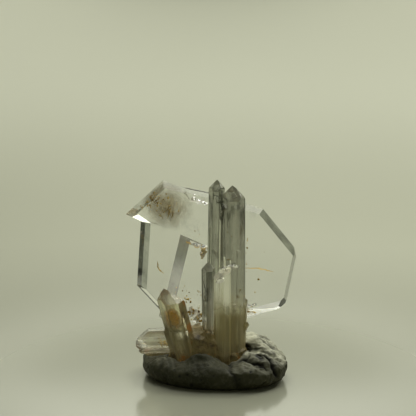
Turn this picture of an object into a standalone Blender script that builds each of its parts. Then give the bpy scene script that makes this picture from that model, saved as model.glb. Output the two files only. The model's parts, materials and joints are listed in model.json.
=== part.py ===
"""A japan law twin of quartz with its side crystals, standing in a lump of mineral putty.

Run with: blender --background --python part.py
Metres, +Z up. The origin is on the putty's flat underside, and the twin's front faces -Y.
"""

import math

import bmesh
import bpy
from mathutils import Matrix, Vector, noise

MM = 0.001

# Driving dimensions, in millimetres unless a comment says otherwise.
RHOMB_SLOPE = 51.8  # degrees from the basal plane to a rhombohedron face
BLANK_SIDE = 120.0  # the block that each crystal is cut from
POCKET_GAP = 0.3  # between the quartz and the putty
PUTTY_HALF_WIDTH = 14.7
PUTTY_HALF_DEPTH = 10.9
PUTTY_CENTRE = (0.8, 1.3)
PUTTY_SKEW = 1.6  # how much nearer the right end lies than the left
PUTTY_WAIST = 2.8  # height at which the putty is widest
PUTTY_RISE = 3.1  # from the waist to the plain top
PUTTY_DROP = 4.9  # from the waist down, cut off by the surface it stands on
PUTTY_SEGMENTS = 72
PUTTY_ROWS = 26

QUARTZ_COLOUR = (0.80, 0.81, 0.74, 1.0)
QUARTZ_ROUGHNESS = 0.05
QUARTZ_IOR = 1.544
PUTTY_COLOUR = (0.085, 0.086, 0.062, 1.0)
PUTTY_ROUGHNESS = 0.75

# Rims run clockwise from the upper left corner: x, z, and how far the bevel that starts at that
# corner reaches inwards on the front and on the back. Depths are those of the front face, of the
# ridge between the two bevels, and of the back face, along y.
LEFT_RIM = [
    (-14.2, 32.0, 0.6, 1.0),
    (-13.2, 36.0, 0.9, 0.7),
    (-9.7, 40.1, 0.9, 1.0),
    (1.9, 37.6, 0.8, 0.8),
    (3.9, 32.8, 0.7, 0.7),
    (3.2, 11.0, 0.8, 0.8),
    (-0.4, 8.9, 0.8, 0.9),
    (-4.7, 8.1, 0.9, 0.9),
    (-9.8, 13.0, 1.05, 0.75),
    (-15.1, 18.9, 2.05, 1.25),
]
LEFT_DEPTH = (1.0, 2.1, 3.6)

# The right individual's main blade.
RIGHT_RIM = [
    (1.4, 29.0, 0.8, 0.9),
    (4.3, 35.7, 0.8, 1.2),
    (7.3, 35.6, 0.9, 1.3),
    (10.6, 34.5, 1.1, 1.15),
    (17.0, 26.6, 0.45, 0.6),
    (17.4, 24.5, 0.45, 0.6),
    (15.6, 15.4, 0.4, 0.6),
    (14.3, 14.2, 0.15, 0.3),
    (7.0, 11.6, 0.8, 1.4),
    (0.6, 9.8, 0.8, 0.9),
]
RIGHT_DEPTH = (0.8, 3.3, 6.2)
# Three points on the long wedge that bevels the blade's lower front edge.
RIGHT_WEDGE = [(14.2, 0.8, 14.5), (7.0, 0.8, 14.1), (7.0, 3.3, 11.6)]

# The right individual's lobe, which runs behind the left individual and ends in a wide slant.
LOBE_RIM = [
    (-6.5, 29.6, 0.8, 0.7),
    (1.2, 26.2, 0.8, 0.9),
    (3.0, 24.0, 0.8, 0.9),
    (3.0, 10.5, 0.8, 0.9),
    (-1.5, 8.3, 0.8, 0.9),
    (-6.5, 7.8, 0.8, 0.9),
    (-10.7, 12.1, 0.3, 2.6),
]
LOBE_DEPTH = (1.5, 3.2, 6.2)

# The crystal across the left individual's upper corner. Its front and back slope, each through
# three points, until they sink into the left individual.
CORNER_RIM = [
    (-17.2, 33.7, 1.3, 1.3),
    (-9.6, 40.7, 1.4, 1.2),
    (-4.6, 38.6, 2.0, 1.6),
    (-1.5, 33.0, 1.6, 1.4),
    (-5.0, 29.6, 1.4, 1.2),
    (-10.5, 30.6, 2.4, 1.1),
]
CORNER_DEPTH = (-1.6, 1.9, 5.2)
CORNER_FRONT = [(-14.0, -0.6, 36.0), (-4.0, 0.9, 37.0), (-12.5, 1.0, 31.5)]
CORNER_BACK = [(-14.0, 4.5, 36.0), (-4.0, 3.6, 37.0), (-10.0, 3.5, 30.0)]


def clear_scene():
    for old in list(bpy.data.objects):
        bpy.data.objects.remove(old)


def make_collection(name, shown):
    made = bpy.data.collections.new(name)
    made.hide_render = not shown
    bpy.context.scene.collection.children.link(made)
    return made


def make_material(name, colour, roughness):
    material = bpy.data.materials.new(name)
    material.use_nodes = True
    shader = material.node_tree.nodes["Principled BSDF"]
    shader.inputs["Base Color"].default_value = colour
    shader.inputs["Roughness"].default_value = roughness
    shader.inputs["Metallic"].default_value = 0.0
    return material


def make_quartz_material():
    material = make_material("quartz", QUARTZ_COLOUR, QUARTZ_ROUGHNESS)
    shader = material.node_tree.nodes["Principled BSDF"]
    shader.inputs["Transmission Weight"].default_value = 1.0
    shader.inputs["IOR"].default_value = QUARTZ_IOR
    return material


def make_object(name, bm, collection, material=None):
    """Turns the bmesh into an object. With no material it is a helper, left out of the part."""
    bmesh.ops.recalc_face_normals(bm, faces=bm.faces)
    if bm.calc_volume(signed=True) < 0:
        bmesh.ops.reverse_faces(bm, faces=bm.faces)
    mesh = bpy.data.meshes.new(name)
    bm.to_mesh(mesh)
    bm.free()
    made = bpy.data.objects.new(name, mesh)
    collection.objects.link(made)
    if material:
        mesh.materials.append(material)
    else:
        made.hide_render = True
        made.display_type = "WIRE"
    return made


def blank_block():
    bm = bmesh.new()
    bmesh.ops.create_cube(bm, size=BLANK_SIDE * MM)
    return bm


def cleave(bm, point, normal):
    """Cuts away what lies on the normal's side of the plane, and closes the cut with one face."""
    geometry = bm.verts[:] + bm.edges[:] + bm.faces[:]
    cut = bmesh.ops.bisect_plane(
        bm, geom=geometry, dist=1e-8, plane_co=point, plane_no=normal, clear_outer=True
    )
    rim = [e for e in cut["geom_cut"] if isinstance(e, bmesh.types.BMEdge)]
    if len(rim) > 2:
        bmesh.ops.contextual_create(bm, geom=rim)


def cleave_through(bm, corners, inside, grow):
    """Cuts along the plane through three points, and keeps the side that the inside point is on."""
    first, second, third = (Vector(corner) for corner in corners)
    normal = (second - first).cross(third - first).normalized()
    if (Vector(inside) - first).dot(normal) > 0:
        normal.negate()
    cleave(bm, (first + normal * grow) * MM, normal)


def cut_tablet(rim, depth, grow, facets=()):
    """A flat crystal seen along y: each rim line has a bevel to the front and one to the back.

    grow moves every face outwards, and facets are more cuts, each through three points.
    """
    front, ridge, back = depth
    bm = blank_block()
    cleave(bm, Vector((0, front - grow, 0)) * MM, Vector((0, -1, 0)))
    cleave(bm, Vector((0, back + grow, 0)) * MM, Vector((0, 1, 0)))
    for number, (x, z, front_inset, back_inset) in enumerate(rim):
        next_x, next_z = rim[(number + 1) % len(rim)][:2]
        outward = Vector((z - next_z, 0, next_x - x)).normalized()
        start = Vector((x, ridge, z))
        for side, inset, rise in ((-1, front_inset, ridge - front), (1, back_inset, back - ridge)):
            normal = (outward * rise + Vector((0, side * inset, 0))).normalized()
            cleave(bm, (start + normal * grow) * MM, normal)
    middle_x = sum(corner[0] for corner in rim) / len(rim)
    middle_z = sum(corner[1] for corner in rim) / len(rim)
    for corners in facets:
        cleave_through(bm, corners, (middle_x, ridge, middle_z), grow)
    return bm


def cut_point(grow, root, length, half_width, half_depth, lean=0.0, back=0.0, roll=0.0,
              minor=0.25, shift=0.0, breaks=()):
    """A quartz point: six prism faces and six rhombohedron faces round the c-axis.

    lean tips it to +x and back tips it to +y, in degrees from upright, and roll turns it on its
    c-axis. minor is how far the three small rhombohedron faces stand off the tip, shift moves
    the tip off the axis, and breaks are flat fractures as (point, normal) in its own frame.
    """
    bm = blank_block()
    slope = math.radians(RHOMB_SLOPE)
    tip = Vector((shift, 0, length))
    side_reach = half_width * math.cos(math.pi / 6)
    for number in range(6):
        angle = math.radians(30 + 60 * number)
        outward = Vector((math.cos(angle), math.sin(angle), 0))
        reach = half_depth if abs(outward.y) > 0.9 else side_reach
        cleave(bm, outward * (reach + grow) * MM, outward)
        normal = outward * math.sin(slope) + Vector((0, 0, math.cos(slope)))
        stand_off = grow + (minor if number % 2 else 0.0)
        cleave(bm, (tip + normal * stand_off) * MM, normal)
    cleave(bm, Vector((0, 0, -grow)) * MM, Vector((0, 0, -1)))
    for point, normal in breaks:
        facing = Vector(normal).normalized()
        cleave(bm, (Vector(point) + facing * grow) * MM, facing)
    turn = (
        Matrix.Translation(Vector(root) * MM)
        @ Matrix.Rotation(math.radians(lean), 4, "Y")
        @ Matrix.Rotation(math.radians(-back), 4, "X")
        @ Matrix.Rotation(math.radians(roll), 4, "Z")
    )
    bm.transform(turn)
    return bm


def make_lump(grow, centre, radii, bump, seed):
    """A rounded lump of massive quartz, knobbly by a fixed noise."""
    bm = bmesh.new()
    bmesh.ops.create_icosphere(bm, subdivisions=3, radius=1.0)
    for vertex in bm.verts:
        way = vertex.co.normalized()
        swell = 1.0 + bump * noise.noise(way * 2.1 + Vector((seed, 0, 0)))
        swell += 0.3 * bump * noise.noise(way * 4.6 + Vector((0, seed, 0)))
        reach = Vector((way.x * radii[0], way.y * radii[1], way.z * radii[2])) * swell
        vertex.co = (Vector(centre) + reach + way * grow) * MM
    return bm


def tablets(grow):
    """The two flat individuals of the twin and the crystal across the upper left corner."""
    yield "left_individual", cut_tablet(LEFT_RIM, LEFT_DEPTH, grow)
    yield "right_individual", cut_tablet(RIGHT_RIM, RIGHT_DEPTH, grow, [RIGHT_WEDGE])
    yield "right_lobe", cut_tablet(LOBE_RIM, LOBE_DEPTH, grow)
    yield "corner_crystal", cut_tablet(CORNER_RIM, CORNER_DEPTH, grow, [CORNER_FRONT, CORNER_BACK])


def tall_points(grow):
    """The tall pair in front of the twin, grown parallel, and the narrow ribs between them."""
    yield "tall_left_point", cut_point(
        grow, root=(0.45, -0.5, 3.0), length=38.1, half_width=1.6, half_depth=1.7,
        lean=1.1, roll=-5, minor=0.15, shift=0.05,
        breaks=[((-1.15, 0, 5.8), (-0.85, 0, -0.53))],
    )
    yield "tall_right_point", cut_point(
        grow, root=(4.4, -0.8, 2.6), length=37.4, half_width=2.6, half_depth=2.3,
        lean=-0.3, roll=3, minor=0.35, shift=0.05,
        breaks=[((-1.9, 0, 2.6), (-0.85, 0, -0.53))],
    )
    yield "groove_rib", cut_point(
        grow, root=(1.95, -1.1, 5.0), length=31.2, half_width=1.05, half_depth=1.0,
        lean=0.5, roll=10,
    )
    yield "right_rib", cut_point(
        grow, root=(5.75, -1.7, 5.0), length=31.4, half_width=0.75, half_depth=0.95,
        lean=-0.3, roll=-7,
    )


def lower_steps(grow):
    """The broken prism in front of the tall pair, and a low step on either side of it."""
    yield "front_prism", cut_point(
        grow, root=(2.35, -1.45, 3.2), length=26.0, half_width=2.65, half_depth=2.25,
        lean=0.2, roll=-2, minor=0.5,
        breaks=[
            ((-2.9, 0, 5.6), (-0.85, 0, -0.53)),
            ((0.4, 0, 20.6), (-0.40, -0.50, 0.77)),
            ((1.6, 0, 21.3), (0.25, -0.45, 0.86)),
        ],
    )
    yield "left_step", cut_point(
        grow, root=(-0.35, -2.1, 4.5), length=20.2, half_width=1.4, half_depth=1.35,
        lean=-0.5, roll=6, shift=-0.1,
    )
    yield "right_step", cut_point(
        grow, root=(6.25, 0.1, 5.5), length=11.4, half_width=0.8, half_depth=1.1,
        lean=2.5, roll=17,
    )


def side_points(grow):
    """The small leaning crystal, and the one lying to the left."""
    yield "leaning_point", cut_point(
        grow, root=(-5.1, -2.3, 5.2), length=15.0, half_width=2.65, half_depth=2.35,
        lean=-14, back=-3, roll=3, minor=0.3, shift=-0.75,
    )
    yield "leaning_step", cut_point(
        grow, root=(-6.4, -2.0, 5.0), length=8.0, half_width=1.6, half_depth=1.6,
        lean=-16, back=-4, roll=25,
    )
    yield "lying_point", cut_point(
        grow, root=(-5.5, 0.9, 7.5), length=10.5, half_width=2.7, half_depth=2.6,
        lean=-92, roll=90, minor=0.4, shift=0.2,
        breaks=[((0, 0, 9.85), (0.12, -0.1, 0.98))],
    )


def stubs(grow):
    """Short crystals round the root, two of them behind the twin."""
    yield "back_point", cut_point(
        grow, root=(3.4, 5.0, 4.8), length=11.2, half_width=1.9, half_depth=1.8,
        lean=12, back=22, roll=11,
    )
    yield "back_left_point", cut_point(
        grow, root=(-3.6, 4.4, 5.0), length=8.2, half_width=1.5, half_depth=1.5,
        lean=-22, back=31, roll=37,
    )
    yield "right_stub", cut_point(
        grow, root=(5.6, -0.4, 8.0), length=4.5, half_width=0.6, half_depth=0.7,
        lean=24, back=-8, roll=5,
    )
    yield "front_stub", cut_point(
        grow, root=(-2.9, -2.3, 5.6), length=4.6, half_width=1.2, half_depth=1.1,
        lean=-6, back=-16, roll=12,
    )


def root_lumps(grow):
    """The iron-stained massive quartz that the crystals share."""
    yield "root_left", make_lump(
        grow, centre=(-4.9, -1.7, 5.9), radii=(3.5, 3.1, 3.3), bump=0.28, seed=3.0
    )
    yield "root_middle", make_lump(
        grow, centre=(-2.0, -1.3, 6.9), radii=(4.3, 3.5, 4.5), bump=0.22, seed=7.0
    )
    yield "root_right", make_lump(
        grow, centre=(4.7, -0.4, 4.9), radii=(2.7, 3.1, 2.6), bump=0.25, seed=11.0
    )
    yield "root_back", make_lump(
        grow, centre=(1.0, 3.4, 6.2), radii=(5.0, 3.1, 3.2), bump=0.3, seed=17.0
    )


def quartz_pieces(grow=0.0):
    for family in (tablets, tall_points, lower_steps, side_points, stubs, root_lumps):
        yield from family(grow)


def hill(x, y, centre, spread, height):
    """A smooth mound or, with a negative height, a dent."""
    away = ((x - centre[0]) / spread[0]) ** 2 + ((y - centre[1]) / spread[1]) ** 2
    return height * math.exp(-away)


def groove(x, y, start, end, width, depth):
    """A crease pressed along a line, fading at both ends."""
    line = Vector(end) - Vector(start)
    offset = Vector((x, y)) - Vector(start)
    along = offset.dot(line) / line.length_squared
    aside = abs(offset.x * line.y - offset.y * line.x) / line.length
    fade = max(0.0, 1.0 - abs(2.0 * along - 1.0) ** 3)
    return -depth * fade * math.exp(-((aside / width) ** 2))


def putty_top(x, y):
    """What thumbs left on the plain top: mounds round the quartz, dents and creases."""
    rise = hill(x, y, centre=(9.0, 5.2), spread=(5.0, 5.4), height=2.8)
    rise += hill(x, y, centre=(-9.5, 2.5), spread=(4.0, 5.0), height=0.6)
    rise += hill(x, y, centre=(-1.6, -4.6), spread=(2.6, 2.8), height=1.5)
    rise += hill(x, y, centre=(3.6, -4.6), spread=(3.0, 2.6), height=-1.6)
    rise += hill(x, y, centre=(10.6, -3.4), spread=(2.6, 2.4), height=0.8)
    rise += groove(x, y, start=(7.2, 0.6), end=(14.4, -3.2), width=0.8, depth=1.3)
    rise += groove(x, y, start=(6.9, -3.8), end=(10.4, -8.6), width=0.8, depth=0.8)
    rise += groove(x, y, start=(-8.6, -0.5), end=(-14.0, -2.2), width=0.8, depth=0.5)
    return rise


def fullness(way):
    """How much further than a plain ball the putty bulges, at its low rim and its corners."""
    across = math.hypot(way.x, way.y)
    corner = abs(way.x * way.y) / max(across, 0.01) ** 2
    low = max(0.0, -way.z)
    return 1.0 + 0.10 * corner + 0.18 * low * low


def shape_putty():
    """A flattened ball of putty: wide waist, undercut foot, flat underside, thumbed top."""
    bm = bmesh.new()
    bmesh.ops.create_uvsphere(bm, u_segments=PUTTY_SEGMENTS, v_segments=PUTTY_ROWS, radius=1.0)
    for vertex in bm.verts:
        way = vertex.co.normalized()
        spread = fullness(way) * (1.0 + 0.035 * noise.noise(way * 1.9))
        x = PUTTY_CENTRE[0] + way.x * PUTTY_HALF_WIDTH * spread
        y = PUTTY_CENTRE[1] + way.y * PUTTY_HALF_DEPTH * spread - PUTTY_SKEW * way.x
        if way.z > 0:
            z = PUTTY_WAIST + PUTTY_RISE * way.z**0.8 + putty_top(x, y) * min(1.0, 2.2 * way.z)
        else:
            z = PUTTY_WAIST + PUTTY_DROP * way.z
        z += 0.25 * noise.noise(Vector((x, y, z)) * 0.33) * min(1.0, 1.0 + way.z)
        vertex.co = Vector((x, y, z)) * MM
    cleave(bm, Vector((0, 0, 0)), Vector((0, 0, -1)))
    return bm


def add_boolean(target, operation, collection):
    step = target.modifiers.new(operation.title(), "BOOLEAN")
    step.operation = operation
    step.operand_type = "COLLECTION"
    step.collection = collection
    step.solver = "EXACT"


def build():
    clear_scene()
    part = make_collection("japan_law_twin_quartz", shown=True)
    crystals = make_collection("crystals", shown=False)
    pocket = make_collection("pocket", shown=False)

    pieces = list(quartz_pieces())
    cluster = make_object("quartz_cluster", pieces[0][1], part, make_quartz_material())
    for name, bm in pieces[1:]:
        make_object(name, bm, crystals)
    add_boolean(cluster, "UNION", crystals)

    putty = make_material("putty", PUTTY_COLOUR, PUTTY_ROUGHNESS)
    base = make_object("putty_base", shape_putty(), part, putty)
    base.data.shade_smooth()
    for name, bm in quartz_pieces(grow=POCKET_GAP):
        make_object("pocket_" + name, bm, pocket)
    add_boolean(base, "DIFFERENCE", pocket)


build()
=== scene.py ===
"""Looks for the japan law twin of quartz in its lump of mineral putty."""

import json
import math
import random

import bmesh
import bpy
from mathutils import Matrix, Vector, noise
from mathutils.bvhtree import BVHTree

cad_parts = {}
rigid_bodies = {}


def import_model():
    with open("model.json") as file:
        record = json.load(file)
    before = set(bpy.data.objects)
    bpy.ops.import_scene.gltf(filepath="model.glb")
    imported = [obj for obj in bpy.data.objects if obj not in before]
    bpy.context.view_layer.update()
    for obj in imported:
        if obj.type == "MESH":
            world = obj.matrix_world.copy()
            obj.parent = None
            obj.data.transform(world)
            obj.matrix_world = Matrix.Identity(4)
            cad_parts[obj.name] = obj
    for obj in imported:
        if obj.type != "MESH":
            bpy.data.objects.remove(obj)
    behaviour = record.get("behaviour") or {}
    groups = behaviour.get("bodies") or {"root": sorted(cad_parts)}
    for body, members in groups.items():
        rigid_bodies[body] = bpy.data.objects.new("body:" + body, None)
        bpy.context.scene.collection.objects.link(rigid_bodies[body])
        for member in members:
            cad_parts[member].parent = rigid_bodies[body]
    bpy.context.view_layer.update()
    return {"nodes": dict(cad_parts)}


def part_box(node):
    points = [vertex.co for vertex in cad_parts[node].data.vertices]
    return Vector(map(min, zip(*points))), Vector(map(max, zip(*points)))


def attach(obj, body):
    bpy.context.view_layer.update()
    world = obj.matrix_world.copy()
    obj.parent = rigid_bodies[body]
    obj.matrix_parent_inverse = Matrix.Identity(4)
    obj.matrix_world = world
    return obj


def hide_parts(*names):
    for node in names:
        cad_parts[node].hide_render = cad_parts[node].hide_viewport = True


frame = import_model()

MM = 0.001
# Without a seed, noise vectors would differ from run to run.
noise.seed_set(7)

# The camera, as worked out from the photograph.
CAMERA_ELEVATION = math.radians(10)
CAMERA_AHEAD = Vector((0, math.cos(CAMERA_ELEVATION), -math.sin(CAMERA_ELEVATION)))
CAMERA_LENS = 100.0
CAMERA_SENSOR = 36.0
FRAME_WIDTH = 83.2 * MM
CAMERA_AIM = Vector((-0.6, 0.0, 35.3)) * MM

LAMP_COLOUR = (0.985, 1.0, 0.875)
ROOM_COLOUR = (1.0, 1.0, 0.86)

QUARTZ_IOR = 1.544
RHOMB_SLOPE = math.radians(51.8)
# How far the c-axis of each flat crystal of the twin leans from upright, in degrees.
TWIN_LEAN = 42
# A prism's half width across its faces, over that across its edges.
PRISM_FLATNESS = 0.87
# The height over which the milky part of a crystal fades, each way, in metres.
MILK_FADE = 0.0032

# The side crystals: foot and length along the c-axis, half width, how they tip to +x (lean) and
# to +y (back) from upright, in millimetres and degrees. Then how they look: the tint of light
# that comes through (tone), how much of it is stopped (body, and tip_body for the end faces),
# how matt the faces are (frost), and up to which height the crystal is milky and in what colour.
# The dark tones of tall_left, tall_right and left_step are painted shade, standing in for the
# darkness that their striated sides show by refraction.
CRYSTALS = {
    "tall_left": {
        "foot": (0.45, -0.5, 3.0), "length": 38.1, "half_width": 1.6, "lean": 1.1, "back": 0,
        "tone": (0.40, 0.41, 0.32), "body": 0.20, "frost": 0.16, "milk": 17.0,
        "milk_colour": (0.34, 0.30, 0.16),
    },
    "tall_right": {
        "foot": (4.4, -0.8, 2.6), "length": 37.4, "half_width": 2.5, "lean": -0.3, "back": 0,
        "tone": (0.31, 0.31, 0.235), "body": 0.26, "frost": 0.18, "milk": 17.5,
        "milk_colour": (0.45, 0.39, 0.205),
    },
    "front": {
        "foot": (2.35, -1.45, 3.2), "length": 20.5, "half_width": 2.5, "lean": 0.2, "back": 0,
        "tone": (0.86, 0.84, 0.67), "body": 0.06, "frost": 0.06, "milk": 16.8,
        "milk_colour": (0.50, 0.44, 0.23),
    },
    "left_step": {
        "foot": (-0.35, -2.1, 4.5), "length": 20.2, "half_width": 1.4, "lean": -0.5, "back": 0,
        "tone": (0.40, 0.40, 0.33), "body": 0.20, "frost": 0.12, "milk": 12.0,
        "milk_colour": (0.30, 0.25, 0.125),
    },
    "leaning": {
        "foot": (-5.1, -2.3, 5.2), "length": 15.0, "half_width": 2.6, "lean": -14, "back": -3,
        "tone": (0.90, 0.90, 0.66), "body": 0.06, "frost": 0.08, "milk": 12.6, "tip_body": 0.12,
        "milk_colour": (0.25, 0.205, 0.085),
    },
    "lying": {
        "foot": (-5.5, 0.9, 7.5), "length": 10.5, "half_width": 2.7, "lean": -92, "back": 0,
        "tone": (1.0, 1.0, 0.86), "body": 0.16, "frost": 0.22, "milk": 0.0, "tip_body": 0.2,
        "milk_colour": (0.30, 0.28, 0.18),
    },
    "back": {
        "foot": (3.4, 5.0, 4.8), "length": 11.2, "half_width": 1.9, "lean": 12, "back": 22,
        "tone": (0.70, 0.69, 0.56), "body": 0.15, "frost": 0.12, "milk": 10.0,
        "milk_colour": (0.20, 0.17, 0.09),
    },
    "back_left": {
        "foot": (-3.6, 4.4, 5.0), "length": 8.2, "half_width": 1.5, "lean": -22, "back": 31,
        "tone": (0.70, 0.68, 0.52), "body": 0.15, "frost": 0.12, "milk": 9.0,
        "milk_colour": (0.20, 0.17, 0.09),
    },
}
# The looks of the flat crystals' faces, and of what is broken, by the same measures.
PLATE = {"tone": (0.985, 0.988, 0.98), "body": 0.0, "frost": 0.0, "milk": 0.0}
# The dark tones of RIM, LEFT_RIM, BAND and EDGE_RIM are painted shade, standing in for the dark
# surroundings that these slanted faces show by refraction.
RIM = {"tone": (0.34, 0.36, 0.32), "body": 0.10, "frost": 0.05, "milk": 0.0}
LEFT_RIM = {"tone": (0.32, 0.34, 0.31), "body": 0.08, "frost": 0.06, "milk": 0.0}
TOP_RIM = {"tone": (0.97, 0.97, 0.97), "body": 0.0, "frost": 0.03, "milk": 0.0}
# LOW_RIM's pale, half-matt body is painted light: it keeps these lower right faces as light as the
# wedge below them.
LOW_RIM = {"tone": (1.0, 1.0, 0.94), "body": 0.6, "frost": 0.2, "milk": 0.0}
BAND = {"tone": (0.41, 0.43, 0.31), "body": 0.22, "frost": 0.35, "milk": 0.0}
EDGE_RIM = {"tone": (0.19, 0.20, 0.18), "body": 0.14, "frost": 0.06, "milk": 0.0}
RAGGED = {"tone": (0.60, 0.56, 0.44), "body": 0.35, "frost": 0.45, "milk": 0.0}
BREAK = {"tone": (1.0, 0.98, 0.92), "body": 0.0, "frost": 0.05, "milk": 0.0}
WEDGE = {"tone": (1.0, 1.0, 0.98), "body": 0.0, "frost": 0.12, "milk": 0.0}
CORNER = {"tone": (0.90, 0.90, 0.83), "body": 0.03, "frost": 0.04, "milk": 0.0}
SHATTERED = {"tone": (1.0, 0.96, 0.78), "body": 0.7, "frost": 0.25, "milk": 0.0}
# What a crystal's tone is multiplied by on its end faces, and how matt these are.
END_PALER, END_FROST = 1.7, 0.18
# The milk colour that is stored for the flat crystals, which have no milky part to show it.
UNUSED_MILK_COLOUR = (0.3, 0.28, 0.2)

# Where the iron-stained root swells, as centre and radii.
ROOT_LUMPS = [
    ((-4.9, -1.7, 5.9), (3.5, 3.1, 3.3)),
    ((-2.0, -1.3, 6.9), (4.3, 3.5, 4.5)),
    ((4.7, -0.4, 4.9), (2.7, 3.1, 2.6)),
    ((1.0, 3.4, 6.2), (5.0, 3.1, 3.2)),
]

# Shell-shaped breaks in the surfaces: centre, radii and turn (radians) of the ball that each
# one is a part of.
BREAKS = [
    ((1.9, -3.65, 21.25), (1.0, 0.55, 0.40), -0.45), ((2.3, -2.35, 23.0), (0.9, 0.70, 0.42), -0.5),
    ((3.6, -3.0, 23.9), (0.8, 0.50, 0.38), -0.5), ((4.9, -3.0, 24.0), (0.8, 0.50, 0.34), 0.15),
    ((-3.2, 0.55, 12.9), (0.70, 0.75, 0.95), 0.5),
    ((-2.5, 0.55, 14.6), (0.45, 0.65, 0.70), 0.2), ((-4.0, 0.60, 14.2), (0.50, 0.60, 0.45), 0.0),
    ((-0.9, 0.60, 27.1), (0.80, 0.60, 0.25), -0.2), ((7.9, 0.35, 13.9), (0.60, 0.60, 0.45), 0.1),
]
# Gaping cracks inside, as thin hollows: centre, radii, and how they tip forward and aside, in
# degrees. Lengths are in millimetres here and in the lists below.
CRACKS = [
    ((1.5, -2.6, 21.8), (0.95, 0.80), 34, 8), ((2.9, -1.9, 23.3), (1.05, 0.85), 31, -12),
    ((4.1, -1.8, 24.0), (0.75, 0.70), 36, -22), ((2.2, -2.3, 22.6), (0.70, 0.60), 24, 14),
    ((-2.2, 2.3, 36.3), (0.85, 0.60), 33, 10), ((-3.5, 2.3, 36.9), (0.55, 0.50), 40, -14),
    ((-1.1, 2.3, 35.9), (0.45, 0.40), 28, -8), ((-3.0, 2.3, 27.4), (0.90, 0.50), 34, 12),
    ((-1.5, 2.3, 27.1), (0.65, 0.50), 30, -10), ((-1.9, 2.2, 25.6), (0.45, 0.50), 36, 20),
    ((-3.6, 2.2, 13.7), (0.55, 0.50), 32, 18), ((-2.7, 2.3, 12.4), (0.60, 0.45), 37, -15),
    ((-3.3, 2.2, 11.2), (0.50, 0.45), 30, 6), ((-4.3, 2.2, 12.4), (0.40, 0.40), 34, -20),
    ((7.9, 2.6, 14.6), (0.60, 0.50), 34, 12), ((8.9, 2.6, 14.9), (0.50, 0.40), 30, -8),
]

# What the sizes of the flecks below are multiplied by, and how often a place is tried for each.
FLECK_GROWTH = 1.7
FLECK_TRIES = 12
# Iron-oxide flecks inside the crystals: centre, spread, how many, and their size.
FLECK_CLUSTERS = [
    ((-10.9, 0.6, 36.8), (2.4, 0.5, 1.7), 54, 0.20),
    ((-8.9, 1.0, 34.2), (1.8, 0.4, 1.5), 22, 0.17),
    ((-14.6, 0.8, 35.4), (0.9, 0.3, 0.4), 5, 0.13),
    ((-4.8, 1.4, 16.5), (0.6, 0.3, 0.5), 7, 0.26),
    ((-3.7, 1.0, 13.2), (1.1, 0.5, 1.5), 26, 0.24),
    ((-2.3, 1.2, 12.0), (0.8, 0.5, 1.2), 14, 0.26),
    ((-5.6, 1.6, 18.0), (1.4, 0.5, 0.9), 10, 0.12),
    ((-2.4, 1.6, 17.6), (0.8, 0.5, 1.6), 8, 0.13),
    ((8.1, 2.2, 13.6), (0.9, 0.5, 0.8), 13, 0.26),
    ((10.2, 2.2, 14.1), (1.0, 0.4, 0.4), 4, 0.12),
    ((6.9, -0.9, 17.6), (0.15, 0.3, 0.8), 6, 0.24),
    ((5.6, -2.5, 18.8), (0.5, 0.15, 1.0), 9, 0.15),
    ((4.6, -3.0, 17.6), (0.7, 0.15, 0.7), 6, 0.13),
    ((6.6, -2.3, 21.5), (0.2, 0.2, 2.4), 9, 0.13),
    ((-9.6, -1.1, 7.7), (0.7, 0.4, 0.6), 18, 0.22),
    ((-10.6, -1.1, 8.0), (0.5, 0.4, 0.7), 9, 0.14),
    ((7.3, 2.4, 28.2), (0.2, 0.3, 0.8), 4, 0.15),
    ((7.2, 2.2, 24.4), (0.15, 0.2, 1.6), 6, 0.12),
    ((-1.6, 2.4, 25.8), (0.4, 0.3, 1.0), 7, 0.24),
    ((-3.0, 2.4, 30.0), (1.4, 0.5, 1.0), 8, 0.10),
    ((3.2, -2.6, 25.2), (1.0, 0.2, 0.6), 8, 0.14),
    ((4.0, -3.0, 31.0), (1.0, 0.2, 3.0), 8, 0.12),
    ((10.0, 3.2, 26.0), (4.0, 0.8, 5.0), 9, 0.07),
    ((-9.0, 2.0, 22.0), (2.4, 0.5, 4.0), 7, 0.07),
]
# Flecks that the photograph shows one by one: centre and size.
SINGLE_FLECKS = [
    ((9.7, 2.6, 20.2), 0.30), ((-9.3, -1.2, 8.1), 0.40), ((-9.0, 0.8, 38.2), 0.24),
    ((-10.8, 0.6, 35.7), 0.28), ((-4.9, 1.3, 16.2), 0.38), ((9.0, 2.6, 17.5), 0.16),
    ((7.4, 2.4, 28.6), 0.26), ((7.0, -0.7, 17.9), 0.42),
]


def crystal_matrix(crystal):
    """From a crystal's own frame, z along its c-axis, to the part's."""
    return (
        Matrix.Translation(Vector(crystal["foot"]) * MM)
        @ Matrix.Rotation(math.radians(crystal["lean"]), 4, "Y")
        @ Matrix.Rotation(math.radians(-crystal["back"]), 4, "X")
    )


def new_object(name, mesh):
    made = bpy.data.objects.new(name, mesh)
    bpy.context.scene.collection.objects.link(made)
    return made


def mesh_from(name, bm):
    """The finished mesh, freeing what it was built in."""
    mesh = bpy.data.meshes.new(name)
    bm.to_mesh(mesh)
    bm.free()
    return mesh


def closed_mesh(name, bm):
    """The same for a closed surface, with every face looking outwards."""
    bmesh.ops.recalc_face_normals(bm, faces=bm.faces)
    if bm.calc_volume(signed=True) < 0:
        bmesh.ops.reverse_faces(bm, faces=bm.faces)
    return mesh_from(name, bm)


def skin_of(mesh):
    """A mesh as a tree that finds the nearest place on it."""
    return BVHTree.FromPolygons(
        [vertex.co for vertex in mesh.vertices], [list(face.vertices) for face in mesh.polygons]
    )


def piece(name, mesh, material, smooth):
    """A finished piece of the part, riding on its one body."""
    made = new_object(name, mesh)
    for face in mesh.polygons:
        face.use_smooth = smooth
    mesh.materials.clear()
    mesh.materials.append(material)
    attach(made, "root")
    return made


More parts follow.
